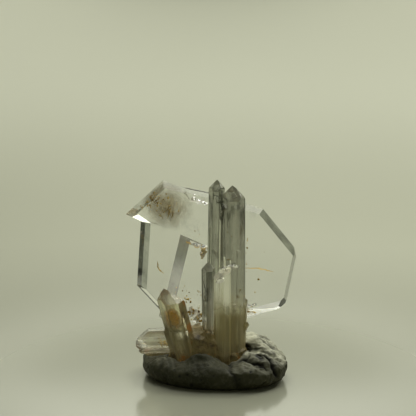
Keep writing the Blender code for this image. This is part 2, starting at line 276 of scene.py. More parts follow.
class Nodes:
    """Shorthand for building one material's node tree."""

    def __init__(self, name):
        self.material = bpy.data.materials.new(name)
        self.material.use_nodes = True
        self.tree = self.material.node_tree
        self.shader = self.tree.nodes["Principled BSDF"]
        self.position = self.add("ShaderNodeTexCoord").outputs["Object"]

    def add(self, kind, **settings):
        node = self.tree.nodes.new(kind)
        for key, value in settings.items():
            setattr(node, key, value)
        return node

    def feed(self, socket, value):
        if isinstance(value, bpy.types.NodeSocket):
            self.tree.links.new(value, socket)
        else:
            socket.default_value = value

    def value(self, **sockets):
        """Sets or links inputs of the Principled shader, named with underscores for spaces."""
        for key, value in sockets.items():
            self.feed(self.shader.inputs[key.replace("_", " ")], value)

    def stretch(self, vector, scale):
        node = self.add("ShaderNodeMapping", vector_type="POINT")
        node.inputs["Scale"].default_value = scale
        self.feed(node.inputs["Vector"], vector)
        return node.outputs["Vector"]

    def noise(self, scale, detail=3.0, roughness=0.55, vector=None, distortion=0.0):
        node = self.add("ShaderNodeTexNoise")
        node.inputs["Scale"].default_value = scale
        node.inputs["Detail"].default_value = detail
        node.inputs["Roughness"].default_value = roughness
        node.inputs["Distortion"].default_value = distortion
        self.feed(node.inputs["Vector"], vector or self.position)
        return node.outputs["Fac"]

    def ramp(self, factor, stops):
        node = self.add("ShaderNodeValToRGB")
        elements = node.color_ramp.elements
        while len(elements) < len(stops):
            elements.new(0.5)
        for element, (place, colour) in zip(elements, stops):
            element.position = place
            grey = isinstance(colour, (int, float))
            element.color = (colour, colour, colour, 1) if grey else (*colour, 1)
        self.feed(node.inputs["Fac"], factor)
        return node.outputs["Color"]

    def math(self, operation, first, second=0.0):
        node = self.add("ShaderNodeMath", operation=operation)
        self.feed(node.inputs[0], first)
        self.feed(node.inputs[1], second)
        return node.outputs[0]

    def total(self, first, second):
        return self.math("ADD", first, second)

    def difference(self, first, second):
        return self.math("SUBTRACT", first, second)

    def product(self, first, second):
        return self.math("MULTIPLY", first, second)

    def larger(self, first, second):
        return self.math("MAXIMUM", first, second)

    def complement(self, value):
        return self.math("SUBTRACT", 1.0, value)

    def mix(self, factor, first, second, blend_type="MIX"):
        node = self.add("ShaderNodeMix", data_type="RGBA", blend_type=blend_type)
        self.feed(node.inputs["Factor"], factor)
        for socket, colour in ((node.inputs["A"], first), (node.inputs["B"], second)):
            self.feed(socket, colour if isinstance(colour, bpy.types.NodeSocket) else (*colour, 1))
        return node.outputs["Result"]

    def tint(self, first, second):
        return self.mix(1.0, first, second, "MULTIPLY")

    def span(self, value, low, high):
        """Rises smoothly from 0 at low to 1 at high."""
        node = self.add("ShaderNodeMapRange", interpolation_type="SMOOTHSTEP")
        self.feed(node.inputs["Value"], value)
        node.inputs["From Min"].default_value = low
        node.inputs["From Max"].default_value = high
        return node.outputs["Result"]

    def axis(self, letter, vector=None):
        node = self.add("ShaderNodeSeparateXYZ")
        self.feed(node.inputs[0], vector or self.position)
        return node.outputs[letter]

    def attribute(self, name, output="Fac"):
        return self.add("ShaderNodeAttribute", attribute_name=name).outputs[output]

    def bump(self, height, strength, distance, below=None):
        node = self.add("ShaderNodeBump")
        node.inputs["Strength"].default_value = strength
        node.inputs["Distance"].default_value = distance
        self.feed(node.inputs["Height"], height)
        if below:
            self.feed(node.inputs["Normal"], below)
        return node.outputs["Normal"]


def cleave(bm, point, normal):
    """Cuts away what lies on the normal's side of the plane, and closes the cut."""
    geometry = bm.verts[:] + bm.edges[:] + bm.faces[:]
    cut = bmesh.ops.bisect_plane(
        bm, geom=geometry, dist=1e-8, plane_co=point, plane_no=normal, clear_outer=True
    )
    rim = [e for e in cut["geom_cut"] if isinstance(e, bmesh.types.BMEdge)]
    if len(rim) > 2:
        bmesh.ops.contextual_create(bm, geom=rim)


def add_helper(helpers, name, bm):
    helpers.objects.link(bpy.data.objects.new(name, closed_mesh(name, bm)))


def cut_rib(length, half_width, turn):
    """A thin six-sided needle with a slanted end, from z = 0 upwards."""
    bm = bmesh.new()
    bmesh.ops.create_cube(bm, size=0.2)
    for number in range(6):
        angle = turn + math.radians(60 * number)
        outward = Vector((math.cos(angle), math.sin(angle), 0))
        cleave(bm, outward * half_width, outward)
        if number % 2:
            slant = outward * math.sin(RHOMB_SLOPE) + Vector((0, 0, math.cos(RHOMB_SLOPE)))
            cleave(bm, Vector((0, 0, length)), slant)
    cleave(bm, Vector((0, 0, 0)), Vector((0, 0, -1)))
    return bm


def add_ribs(helpers):
    """Parallel growth: thin ribs along the prisms, most of them sunk into their faces."""
    chance = random.Random(11)
    counts = {"tall_left": 6, "tall_right": 9, "front": 3, "left_step": 3, "leaning": 2, "lying": 2}
    for name, count in counts.items():
        crystal = CRYSTALS[name]
        for number in range(count):
            angle = math.radians(-80 + 160 * (number + 0.5) / count + chance.uniform(-9, 9))
            length = crystal["length"] * chance.uniform(0.55, 0.93)
            half_width = crystal["half_width"] * chance.uniform(0.12, 0.26)
            sixth = (angle + math.pi / 6) % (math.pi / 3) - math.pi / 6
            prism_reach = crystal["half_width"] * PRISM_FLATNESS / math.cos(sixth)
            reach = prism_reach - half_width * chance.uniform(0.5, 0.8)
            bm = cut_rib(length * MM, half_width * MM, chance.uniform(0, 1))
            bm.transform(
                crystal_matrix(crystal)
                @ Matrix.Translation(Vector((math.sin(angle), -math.cos(angle), 0)) * reach * MM)
            )
            add_helper(helpers, "rib", bm)


def add_scoop(helpers, centre, radii, turn, seed):
    """A shallow shell-shaped break, as the ball that it is cut with."""
    bm = bmesh.new()
    bmesh.ops.create_icosphere(bm, subdivisions=4, radius=1.0)
    for vertex in bm.verts:
        way = vertex.co.normalized()
        ripple = 0.035 * math.sin(way.x * 19 + 5 * noise.noise(way * 1.5 + Vector((seed, 0, 0))))
        swell = 1 + 0.12 * noise.noise(way * 2.2 + Vector((0, seed, 0))) + ripple
        vertex.co = Vector((way.x * radii[0], way.y * radii[1], way.z * radii[2])) * swell * MM
    bm.transform(Matrix.Translation(Vector(centre) * MM) @ Matrix.Rotation(turn, 4, "Y"))
    add_helper(helpers, "scoop", bm)


def add_crack(helpers, centre, radii, forward, aside, seed):
    """A thin wavy hollow inside the quartz."""
    bm = bmesh.new()
    bmesh.ops.create_icosphere(bm, subdivisions=4, radius=1.0)
    for vertex in bm.verts:
        flat = Vector((vertex.co.x * radii[0], vertex.co.y * radii[1], 0))
        flat *= 1 + 0.45 * noise.noise(Vector((vertex.co.x, vertex.co.y, seed)) * 1.6)
        wave = 0.16 * noise.noise(flat * 1.9 + Vector((0, 0, seed)))
        vertex.co = (flat + Vector((0, 0, vertex.co.z * 0.05 + wave))) * MM
    bm.transform(
        Matrix.Translation(Vector(centre) * MM)
        @ Matrix.Rotation(math.radians(aside), 4, "Y")
        @ Matrix.Rotation(math.radians(forward), 4, "X")
    )
    add_helper(helpers, "crack", bm)


def boolean(target, operation, helpers):
    """Applies the Boolean of the target with every helper, and removes the helpers."""
    step = target.modifiers.new(operation, "BOOLEAN")
    step.operation = operation
    step.operand_type = "COLLECTION"
    step.collection = helpers
    step.solver = "EXACT"
    bpy.context.view_layer.update()
    shaped = target.evaluated_get(bpy.context.evaluated_depsgraph_get())
    result = bpy.data.meshes.new_from_object(shaped)
    target.modifiers.clear()
    target.data = result
    for helper in list(helpers.objects):
        bpy.data.objects.remove(helper)


def nearest_crystal(place):
    """The crystal whose axis passes closest for its width, and how close that is."""
    best = ("tall_left", 9.0)
    for name, crystal in CRYSTALS.items():
        local = crystal_matrix(crystal).inverted() @ place / MM
        if -1 < local.z < crystal["length"] + 1:
            away = math.hypot(local.x, local.y) / crystal["half_width"]
            if away < best[1]:
                best = (name, away)
    return best


def belongs_to_crystal(name, away, centre):
    """Whether a face is one of that side crystal's, and not of a flat crystal behind it."""
    x, y, z = centre / MM
    if name == "lying":
        return away < 1.35 and x < -6.5 and z < 11.5
    if name.startswith("back"):
        return away < 1.35 and y > 6.0
    return away < 1.45 and y < 0.95


def in_ball(place, centre, radii, reach):
    """Whether a place lies in the ball of these radii, or so much beyond it as reach allows."""
    offset = place / MM - Vector(centre)
    return sum((offset[n] / radii[n]) ** 2 for n in range(3)) < reach


def in_root(place):
    return any(in_ball(place, centre, radii, 1.35) for centre, radii in ROOT_LUMPS)


def in_break(place):
    if any(in_ball(place, centre, radii, 1.4) for centre, radii, _ in BREAKS):
        return True
    return any(
        (place / MM - Vector(centre)).length < 1.5 * max(radii) for centre, radii, *_ in CRACKS
    )


def tablet_look(centre, normal):
    """Which of the looks a face of the flat crystals has."""
    x, y, z = centre / MM
    if abs(normal.y) > 0.95:
        return PLATE
    if in_break(centre):
        return BREAK
    if z > 30.8 and x < -4:
        return CORNER
    if y > 3.7 and x < -3 and z < 29 and normal.x < -0.3:
        return BAND
    if y > 1.5 and -7 < x < 4 and 22 < z < 30:
        return RAGGED
    if normal.y < -0.3 and normal.z < -0.4:
        return WEDGE
    if x > 6.5 and z < 14.6:
        return LOW_RIM
    if normal.z > 0.45 and abs(normal.x) < 0.6:
        return TOP_RIM
    if x > 14.5 and z < 27:
        return EDGE_RIM
    return LEFT_RIM if x < -8 else RIM


def crystal_look(name, crystal, centre, normal):
    """The looks of a side crystal's face: its end faces are matter and paler than its sides."""
    if name == "front" and centre.z > 21.3 * MM and normal.z > 0.2:
        return {**crystal, **SHATTERED}
    if in_break(centre) and abs(normal.z) > 0.12:
        return {**crystal, **BREAK}
    axis = crystal_matrix(crystal).to_3x3() @ Vector((0, 0, 1))
    if normal.dot(axis) < 0.35:
        return crystal
    paler = tuple(min(1.0, END_PALER * channel) for channel in crystal["tone"])
    body = crystal.get("tip_body", 0.42)
    return {**crystal, "tone": paler, "body": body, "frost": END_FROST}


def mark_facets(mesh):
    """Stores what the quartz material asks of each face: its looks and its crystal's frame."""
    tablet_frames = [
        Matrix.Rotation(math.radians(turn), 4, "Y") for turn in (TWIN_LEAN, -TWIN_LEAN)
    ]
    mesh.attributes.new("growth", "FLOAT_VECTOR", "CORNER")
    mesh.attributes.new("tone", "FLOAT_COLOR", "CORNER")
    mesh.attributes.new("milk_colour", "FLOAT_COLOR", "CORNER")
    for name in ("flank", "stained", "milk", "body", "frost"):
        mesh.attributes.new(name, "FLOAT", "FACE")
    data = mesh.attributes
    for face in mesh.polygons:
        name, away = nearest_crystal(face.center)
        on_crystal = belongs_to_crystal(name, away, face.center)
        if on_crystal:
            look = crystal_look(name, CRYSTALS[name], face.center, face.normal)
            local = crystal_matrix(look).inverted()
        else:
            look = tablet_look(face.center, face.normal)
            local = tablet_frames[0 if face.center.x < 1 * MM else 1]
        milk_colour = look.get("milk_colour", UNUSED_MILK_COLOUR)
        data["flank"].data[face.index].value = float(on_crystal)
        data["stained"].data[face.index].value = float(in_root(face.center))
        data["milk"].data[face.index].value = look["milk"] * MM
        data["body"].data[face.index].value = look["body"]
        data["frost"].data[face.index].value = look["frost"]
        for corner in face.loop_indices:
            place = mesh.vertices[mesh.loops[corner].vertex_index].co
            data["growth"].data[corner].vector = local @ place
            data["tone"].data[corner].color = (*look["tone"], 1)
            data["milk_colour"].data[corner].color = (*milk_colour, 1)


def quartz_material():
    """Clear, milky or iron-stained quartz, as the attributes of its faces say."""
    nodes = Nodes("clear_quartz")
    growth = nodes.attribute("growth", "Vector")
    flank = nodes.attribute("flank")
    lines = nodes.noise(800, 4.0, 0.7, nodes.stretch(growth, (1.0, 1.0, 0.03)))
    steps = nodes.noise(600, 3.0, 0.6, nodes.stretch(growth, (0.05, 0.05, 1.0)))
    patches = nodes.noise(330, 4.0, 0.6)
    streaks = nodes.noise(330, 3.0, 0.6, nodes.stretch(growth, (1.0, 1.0, 0.08)))
    clouds = nodes.noise(160, 4.0, 0.65)
    blotches = nodes.noise(420, 4.0, 0.65, nodes.stretch(growth, (1.0, 1.0, 0.3)))

    # Milky up to a ragged height, and iron-stained where the crystals spring from the root.
    ragged = nodes.total(nodes.product(streaks, 0.007), nodes.product(clouds, 0.005))
    lifted = nodes.total(nodes.axis("Z"), nodes.difference(ragged, 0.006))
    above_milk = nodes.difference(lifted, nodes.attribute("milk"))
    milky = nodes.product(nodes.complement(nodes.span(above_milk, -MILK_FADE, MILK_FADE)), flank)
    low = nodes.complement(nodes.span(lifted, 0.0045, 0.0085))
    rooty = nodes.larger(nodes.product(low, flank), nodes.attribute("stained"))

    # Side crystals are streaked along their length, and the dark rims of the flat ones blotched;
    # these dark tones are painted shade.
    tone = nodes.attribute("tone", "Color")
    darkness = nodes.complement(nodes.axis("X", tone))
    blotched = nodes.mix(
        darkness, tone, nodes.ramp(blotches, [(0.34, 0.35), (0.62, 1.6)]), "MULTIPLY"
    )
    streaked = nodes.tint(tone, nodes.ramp(streaks, [(0.34, 0.30), (0.46, 0.75), (0.58, 1.0)]))
    milk_colour = nodes.tint(
        nodes.attribute("milk_colour", "Color"), nodes.ramp(streaks, [(0.3, 0.75), (0.7, 1.25)])
    )
    rust = nodes.ramp(patches, [
        (0.34, (0.07, 0.045, 0.014)), (0.46, (0.25, 0.19, 0.072)),
        (0.56, (0.31, 0.245, 0.10)), (0.64, (0.42, 0.18, 0.03)),
    ])
    colour = nodes.mix(milky, nodes.mix(flank, blotched, streaked), milk_colour)

    cloudy = nodes.product(nodes.span(clouds, 0.45, 0.75), nodes.product(flank, 0.12))
    solid = nodes.larger(nodes.total(nodes.attribute("body"), cloudy), nodes.product(milky, 0.62))
    solid = nodes.larger(solid, nodes.product(rooty, 0.8))
    rough = nodes.larger(nodes.product(milky, 0.32), nodes.product(rooty, 0.5))
    normal = nodes.bump(nodes.product(lines, flank), 0.8, 0.0003)
    normal = nodes.bump(nodes.product(steps, nodes.complement(flank)), 0.03, 0.0002, normal)
    normal = nodes.bump(nodes.product(patches, rooty), 0.8, 0.001, normal)
    nodes.value(
        Base_Color=nodes.mix(rooty, colour, rust),
        Roughness=nodes.larger(rough, nodes.attribute("frost")),
        Transmission_Weight=nodes.complement(solid),
        IOR=QUARTZ_IOR,
        Normal=normal,
    )
    return nodes.material


def make_quartz():
    """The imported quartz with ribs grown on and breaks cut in. Returns its skin as a tree."""
    source = frame["nodes"]["quartz_cluster"]
    bm = bmesh.new()
    bm.from_mesh(source.data)
    bmesh.ops.remove_doubles(bm, verts=bm.verts, dist=1e-7)
    bmesh.ops.dissolve_limit(bm, angle_limit=math.radians(0.4), verts=bm.verts, edges=bm.edges)
    quartz = new_object("quartz_crystals", closed_mesh("quartz_crystals", bm))
    helpers = bpy.data.collections.new("helpers")
    add_ribs(helpers)
    boolean(quartz, "UNION", helpers)
    for number, (centre, radii, turn) in enumerate(BREAKS):
        add_scoop(helpers, centre, radii, turn, 2.0 + 3 * number)
    for number, (centre, radii, forward, aside) in enumerate(CRACKS):
        add_crack(helpers, centre, radii, forward, aside, 1.5 + 2 * number)
    boolean(quartz, "DIFFERENCE", helpers)
    bpy.data.collections.remove(helpers)
    mark_facets(quartz.data)
    for face in quartz.data.polygons:
        face.use_smooth = False
    quartz.data.materials.clear()
    quartz.data.materials.append(quartz_material())
    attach(quartz, "root")
    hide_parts("quartz_cluster")
    # Clear quartz lets the lamps' light through to what lies in it and behind it.
    quartz.visible_shadow = False
    return skin_of(quartz.data)


def film_material(name, dark, light, missing, alpha, roughness):
    """A thin film or stain inside the quartz: mottled, and missing in places."""
    nodes = Nodes(name)
    mottle = nodes.noise(900, 4.0, 0.65)
    gaps = nodes.noise(560, 6.0, 0.75, nodes.stretch(nodes.position, (1.0, 1.0, 0.45)), 0.6)
    present = nodes.span(gaps, missing - 0.10, missing + 0.10)
    density = nodes.product(nodes.attribute("cover"), alpha)
    nodes.value(
        Base_Color=nodes.ramp(mottle, [(0.3, dark), (0.7, light)]),
        Roughness=roughness,
        Specular_IOR_Level=0.05,
        Alpha=nodes.product(present, density),
        Normal=nodes.bump(mottle, 0.4, 0.0002),
    )
    return nodes.material


def fleck_material():
    nodes = Nodes("iron_flecks")
    mottle = nodes.noise(700, 3.0)
    nodes.value(
        Base_Color=nodes.ramp(mottle, [
            (0.34, (0.17, 0.10, 0.018)), (0.5, (0.44, 0.285, 0.05)), (0.64, (0.74, 0.55, 0.19)),
        ]),
        Specular_IOR_Level=0.05,
        Roughness=nodes.total(nodes.product(mottle, 0.4), 0.45),
        Normal=nodes.bump(mottle, 0.6, 0.0002),
    )
    return nodes.material


def depth_in_quartz(place):
    """How deep a place lies inside the quartz, in millimetres, and below zero outside."""
    on_skin, normal, _, _ = QUARTZ_SKIN.find_nearest(place * MM)
    return (on_skin - place * MM).dot(normal) / MM


def add_fleck(bm, place, size, chance):
    """A knobbly grain, turned and flattened at random."""
    made = bmesh.ops.create_icosphere(bm, subdivisions=1, radius=1.0)
    angle = chance.uniform(0, 6.3)
    turn = Matrix.Rotation(angle, 4, Vector((chance.uniform(-1, 1), chance.uniform(-1, 1), 1)))
    flat = (1.0, chance.uniform(0.35, 0.8), chance.uniform(0.5, 1.3))
    for vertex in made["verts"]:
        knobbly = 1 + 0.7 * noise.noise(vertex.co * 2 + Vector(place))
        offset = Vector(vertex.co[n] * flat[n] for n in range(3)) * knobbly * size * 0.5
        vertex.co = (Vector(place) + turn @ offset) * MM


def make_flecks():
    """All flecks as one piece. Those that would leave the quartz are tried elsewhere or left."""
    chance = random.Random(5)
    bm = bmesh.new()
    for centre, spread, count, size in FLECK_CLUSTERS:
        wanted = count
        for _ in range(FLECK_TRIES * count):
            size_here = size * FLECK_GROWTH * chance.uniform(0.5, 1.6)
            place = Vector([centre[n] + chance.gauss(0, spread[n] * 0.6) for n in range(3)])
            if wanted and depth_in_quartz(place) > 0.3 * size_here:
                add_fleck(bm, place, size_here, chance)
                wanted -= 1
    for place, size in SINGLE_FLECKS:
        if depth_in_quartz(Vector(place)) > 0.2 * size:
            add_fleck(bm, place, size * FLECK_GROWTH, chance)
    piece("iron_flecks", mesh_from("iron_flecks", bm), fleck_material(), True)


# Films inside the quartz: piece, material, its darkest and lightest colour, how much of it is
# missing, alpha and roughness.
FILMS = [
    ("corner_veil", "veil_film", (0.40, 0.31, 0.16), (0.74, 0.67, 0.44), 0.42, 0.40, 0.7),
    ("healed_cracks", "haze_film", (0.65, 0.65, 0.56), (0.95, 0.95, 0.86), 0.52, 0.26, 0.6),
    ("orange_cloud", "orange_stain", (0.50, 0.27, 0.012), (0.82, 0.50, 0.05), 0.36, 0.75, 0.8),
    ("stained_cracks", "crack_stain", (0.34, 0.21, 0.045), (0.68, 0.51, 0.19), 0.36, 0.95, 0.7),
    # The dark seams are near-black sheets: painted shade along the seams between crystals, and the
    # dark of a crack in the left step.
    ("dark_seams", "dark_film", (0.008, 0.009, 0.009), (0.05, 0.045, 0.035), 0.34, 0.97, 0.5),
    # The bright breaks are painted highlights: near-white sheets for the glints of light in the
    # breaks.
    ("bright_breaks", "bright_break", (0.85, 0.80, 0.68), (1.0, 1.0, 0.96), 0.38, 1.0, 0.35),
]
# The cloudy sheets of a film: centre, how they reach across and up, bulge and seed.
SHEETS = {
    "corner_veil": [
        ((-9.4 + 0.3 * number, 0.9 + 0.55 * number, 35.6 - 0.2 * number),
         (4.9, 0.7, 0.5), (-0.8, 0.5, 4.5), 0.9, 3.0 + 7 * number)
        for number in range(6)
    ],
    "healed_cracks": [
        ((-2.6, 2.4, 36.6), (2.6, 0.4, -0.5), (0.2, 0.6, 0.9), 0.5, 41.0),
        ((-3.2, 2.6, 30.8), (2.4, 0.3, 0.2), (0.1, 0.5, 2.0), 0.4, 47.0),
        ((8.8, 3.2, 33.4), (1.9, 0.4, 0.2), (0.1, 0.6, 1.1), 0.4, 53.0),
        ((3.2, -1.4, 28.6), (2.4, 0.3, 0.1), (0.1, 0.4, 3.4), 0.5, 59.0),
        ((1.0, -0.8, 33.0), (1.0, 0.3, 0.1), (0.1, 0.4, 5.5), 0.4, 61.0),
        ((-10.9, 0.2, 8.2), (1.6, 0.2, 0.1), (0.1, 0.4, 1.5), 0.3, 67.0),
    ],
    "orange_cloud": [
        ((-7.4, -3.4 + 0.35 * number, 13.5), (1.6, 0.1, -0.3), (-0.4, 0.1, 2.4), 0.3, 71.0 + number)
        for number in range(4)
    ],
}
# The ragged strips of a film: the line, breadth, the way they sweep, jaggedness and seed.
STRIPS = {
    "stained_cracks": [
        ([(-10.9, 2.0, 24.0), (-10.8, 2.1, 22.9), (-10.3, 2.2, 22.0), (-9.6, 2.2, 21.5)],
         0.45, (0.7, 0.7, 0.2), 0.15, 1.0),
        ([(6.9, 2.6, 22.5), (9.6, 2.9, 22.5), (12.7, 3.1, 21.7)],
         1.1, (0.1, 0.97, 0.12), 0.12, 2.0),
        ([(-5.0, 2.8, 28.0), (-3.6, 2.6, 27.5), (-2.6, 2.5, 27.0), (-1.7, 2.4, 26.8),
          (0.2, 2.3, 27.0)],
         1.1, (0.1, 0.8, 0.58), 0.35, 3.0),
        ([(-1.7, 2.3, 26.8), (-1.5, 2.2, 25.6), (-1.8, 2.2, 24.4)],
         1.2, (0.95, 0.2, 0.1), 0.3, 4.0),
        ([(-8.6, 1.1, 35.4), (-8.4, 1.2, 34.2), (-8.9, 1.2, 33.0)],
         0.5, (0.8, 0.5, 0.1), 0.3, 5.0),
        ([(-7.7, 1.1, 34.6), (-7.8, 1.2, 33.2)], 0.35, (0.8, 0.5, 0.1), 0.3, 6.0),
    ],
    # Painted shade: near-black strips along the seams between crystals, one of them on a crack in
    # the left step.
    "dark_seams": [
        ([(2.1, -1.2, 39.0), (2.45, -1.3, 37.0), (2.5, -1.3, 35.2), (2.4, -1.4, 32.3)],
         1.5, (0.95, 0.3, 0.0), 0.25, 11.0),
        ([(1.2, -1.6, 36.8), (2.2, -1.5, 36.8)], 0.45, (0.1, 0.3, 0.9), 0.1, 12.0),
        ([(-1.2, -2.3, 21.0), (-1.0, -2.5, 19.9), (-0.8, -2.6, 18.6), (-0.95, -2.5, 16.7),
          (-1.2, -2.3, 15.2)],
         0.55, (0.9, 0.4, 0.0), 0.3, 13.0),
        ([(6.1, -2.2, 33.0), (6.2, -2.2, 28.0), (6.1, -2.2, 23.5)],
         0.7, (0.8, 0.6, 0.0), 0.15, 14.0),
        ([(-5.9, -4.2, 8.3), (-4.9, -4.3, 9.4), (-3.8, -4.3, 9.9)],
         0.6, (0.1, 0.3, 0.9), 0.3, 15.0),
    ],
    # Painted highlights: near-white strips for the glints of light in the breaks.
    "bright_breaks": [
        ([(0.5, -3.2, 22.5), (1.8, -3.3, 22.6), (2.8, -3.3, 23.2), (3.8, -3.2, 24.0)],
         1.5, (0.1, 0.72, 0.68), 0.25, 21.0),
        ([(2.6, -3.1, 22.8), (4.5, -2.9, 23.5), (5.8, -2.6, 24.1)],
         0.8, (0.1, 0.72, 0.68), 0.2, 22.0),
        ([(-3.8, 2.2, 27.4), (-2.0, 2.1, 26.9), (0.8, 2.0, 27.2)],
         0.6, (0.1, 0.72, 0.68), 0.25, 23.0),
        ([(-4.3, 1.8, 36.6), (-2.2, 1.8, 36.2), (-1.0, 1.8, 37.0)],
         1.0, (0.1, 0.72, 0.68), 0.3, 24.0),
        ([(-3.9, 1.5, 14.6), (-3.2, 1.5, 12.8), (-2.6, 1.6, 11.4)],
         2.2, (0.8, 0.30, 0.4), 0.4, 25.0),
    ],
}
# The depth below the quartz's skin from which a film is whole, the number of a sheet's rows, and
# the length of a strip's steps.
FILM_DEPTH = 0.2
SHEET_ROWS = 22
STRIP_STEP = 0.18


def cloud_sheet(bm, cover, centre, across, up, bulge, seed):
    """A wavy patch whose cover fades to nothing at its ragged edge."""
    across, up = Vector(across), Vector(up)
    facing = across.cross(up).normalized()
    rows = []
    for row in range(SHEET_ROWS + 1):
        line = []
        for column in range(SHEET_ROWS + 1):
            u, v = 2 * column / SHEET_ROWS - 1, 2 * row / SHEET_ROWS - 1
            ripple = noise.noise(Vector((u * 1.7, v * 1.7, seed))) * bulge
            place = Vector(centre) + across * u + up * v + facing * ripple
            vertex = bm.verts.new(place * MM)
            ragged = 1 + 0.6 * noise.noise(Vector((u * 2.5, v * 2.5, seed + 5)))
            vertex[cover] = max(0.0, 1 - (u * u + v * v) * ragged) ** 1.3
            line.append(vertex)
        rows.append(line)
    for below, above in zip(rows, rows[1:]):
        for column in range(SHEET_ROWS):
            corners = [below[column], below[column + 1], above[column + 1], above[column]]
            if max(corner[cover] for corner in corners) > 0:
                bm.faces.new(corners)


def ribbon(bm, cover, points, breadth, sweep, jag, seed):
    """A ragged strip along a line, reaching from it in the direction of sweep."""
    sweep = Vector(sweep)
    stations = []
    for first, second in zip(points, points[1:]):
        first, second = Vector(first), Vector(second)
        steps = max(2, int((second - first).length / STRIP_STEP))
        stations += [first.lerp(second, step / steps) for step in range(steps)]
    stations.append(Vector(points[-1]))
    previous = None
    for number, station in enumerate(stations):
        along = number / (len(stations) - 1)
        taper = math.sin(math.pi * min(0.94, max(0.06, along))) ** 0.6
        shake = Vector(noise.noise(station * 2.3 + Vector((seed, turn, 0))) for turn in range(3))
        line = []
        for step in range(4):
            reach = (step / 3 - 0.5) * breadth * taper
            reach *= 1 + 0.8 * noise.noise(station * 3.1 + Vector((seed, step, 9)))
            vertex = bm.verts.new((station + shake * jag + sweep * reach) * MM)
            vertex[cover] = 1.0 if 0 < step < 3 else 0.7
            line.append(vertex)
        if previous:
            for step in range(3):
                bm.faces.new((previous[step], line[step], line[step + 1], previous[step + 1]))
        previous = line


def film_piece(name, material):
    """The sheets and strips of one film, faded out wherever they would leave the quartz."""
    bm = bmesh.new()
    cover = bm.verts.layers.float.new("cover")
    for sheet in SHEETS.get(name, []):
        cloud_sheet(bm, cover, *sheet)
    for strip in STRIPS.get(name, []):
        ribbon(bm, cover, *strip)
    for vertex in bm.verts:
        vertex[cover] *= min(1.0, max(0.0, depth_in_quartz(vertex.co / MM) / FILM_DEPTH))
    bmesh.ops.delete(bm, geom=[v for v in bm.verts if not v.link_faces], context="VERTS")
    piece(name, mesh_from(name, bm), material, True)


def make_films():
    for name, material, dark, light, missing, alpha, roughness in FILMS:
        film_piece(name, film_material(material, dark, light, missing, alpha, roughness))


# The size of the even grid that the putty's skin is rebuilt on.
PUTTY_GRID = 0.19 * MM
# The creases that fingers left on the putty, seen from above: start, end, width and depth.
PUTTY_CREASES = [
    ((6.4, -4.0), (11.2, -7.4), 0.30, 0.6),
    ((8.4, -2.2), (10.6, -5.4), 0.30, 0.35), ((5.2, -4.6), (8.0, -3.6), 0.30, 0.35),
    ((11.5, -3.0), (12.6, -6.8), 0.32, 0.40), ((-8.4, -1.4), (-13.2, -1.8), 0.25, 0.25),
    ((9.4, 3.0), (13.8, 1.0), 0.28, 0.25), ((7.6, 6.6), (12.4, 4.4), 0.25, 0.2),
]
# The deep split on the right, as x and z of its bends as seen from the front.
PUTTY_SPLIT = [(7.0, 6.6), (9.9, 5.65), (11.5, 4.95), (12.5, 2.7), (13.1, 1.4)]
# The pits as x, z and radius, those of the front first and then those of the back.
PUTTY_PITS = [
    [(-11.4, 4.9, 0.34), (-6.2, 2.9, 0.30), (-3.8, 1.2, 0.38), (-2.0, 2.6, 0.22), (-4.7, 3.4, 0.24),
     (10.4, 1.5, 0.26), (-7.3, 3.9, 0.20), (-12.6, 3.0, 0.22), (0.5, 3.4, 0.20), (5.6, 2.8, 0.22),
     (-8.4, 1.8, 0.20), (12.4, 3.0, 0.24), (4.4, 4.6, 0.24), (-0.6, 5.0, 0.18), (7.8, 4.0, 0.26)],
    [(13.2, 3.5, 0.24), (9.2, 3.6, 0.26), (3.0, 3.0, 0.22), (-6.0, 3.0, 0.27), (-10.0, 2.2, 0.2)],
]


def crease_depth(place, normal):
    """How deep the creases are here: whole on top, and fading out below the putty's girth."""
    depth = 0.0
    for start, end, width, deepest in PUTTY_CREASES:
        start, line = Vector(start), Vector(end) - Vector(start)
        offset = place.xy - start
        along = offset.dot(line) / line.length_squared
        wander = 0.5 * noise.noise(Vector((place.x * 0.9, place.y * 0.9, 4)))
        aside = abs((offset.x * line.y - offset.y * line.x) / line.length + wander)
        if 0 < along < 1:
            depth += deepest * math.sin(math.pi * along) ** 0.5 * math.exp(-((aside / width) ** 2))
    return depth * min(1.0, max(0.0, normal.z + 0.35) * 1.6)


def find_pits(skin):
    """Where on the putty's skin the pits are, with their radii."""
    pits = []
    for side, listed in zip((-1, 1), PUTTY_PITS):
        for x, z, radius in listed:
            start = Vector((x, 40 * side, z)) * MM
            place = skin.ray_cast(start, Vector((0, -side, 0)))[0]
            if place:
                pits.append((place / MM, radius))
    return pits


def find_split(skin):
    """The bends of the split, laid on the putty's skin along the view from the front."""
    hits = []
    for x, z in PUTTY_SPLIT:
        start = Vector((x, 0, z)) * MM - CAMERA_AHEAD * 0.04
        hits.append(skin.ray_cast(start, CAMERA_AHEAD)[0])
    return [hit / MM for hit in hits if hit]


def split_depth(place, split):
    depth = 0.0
    wander = 0.22 * noise.noise_vector(place * 1.3)
    for start, end in zip(split, split[1:]):
        line = end - start
        along = min(1.0, max(0.0, (place + wander - start).dot(line) / line.length_squared))
        away = (place + wander - start - line * along).length
        depth = max(depth, 1.1 * math.exp(-((away / 0.42) ** 2)))
    return depth


def pit_depth(place, pits):
    depth = 0.0
    for centre, radius in pits:
        away = (place - centre).length / radius
        if away < 2.5:
            depth += radius * 0.9 * math.exp(-away * away)
    return depth


def finger_print(place):
    """How clearly a finger has left its print here: on the left shoulder and, faintly, behind."""
    left = math.exp(-((place.x + 10.3) / 2.8) ** 2 - ((place.z - 5.6) / 1.9) ** 2)
    behind = math.exp(-((place.x - 2.0) / 4.0) ** 2 - ((place.y - 11.5) / 3.0) ** 2)
    return left + 0.14 * behind


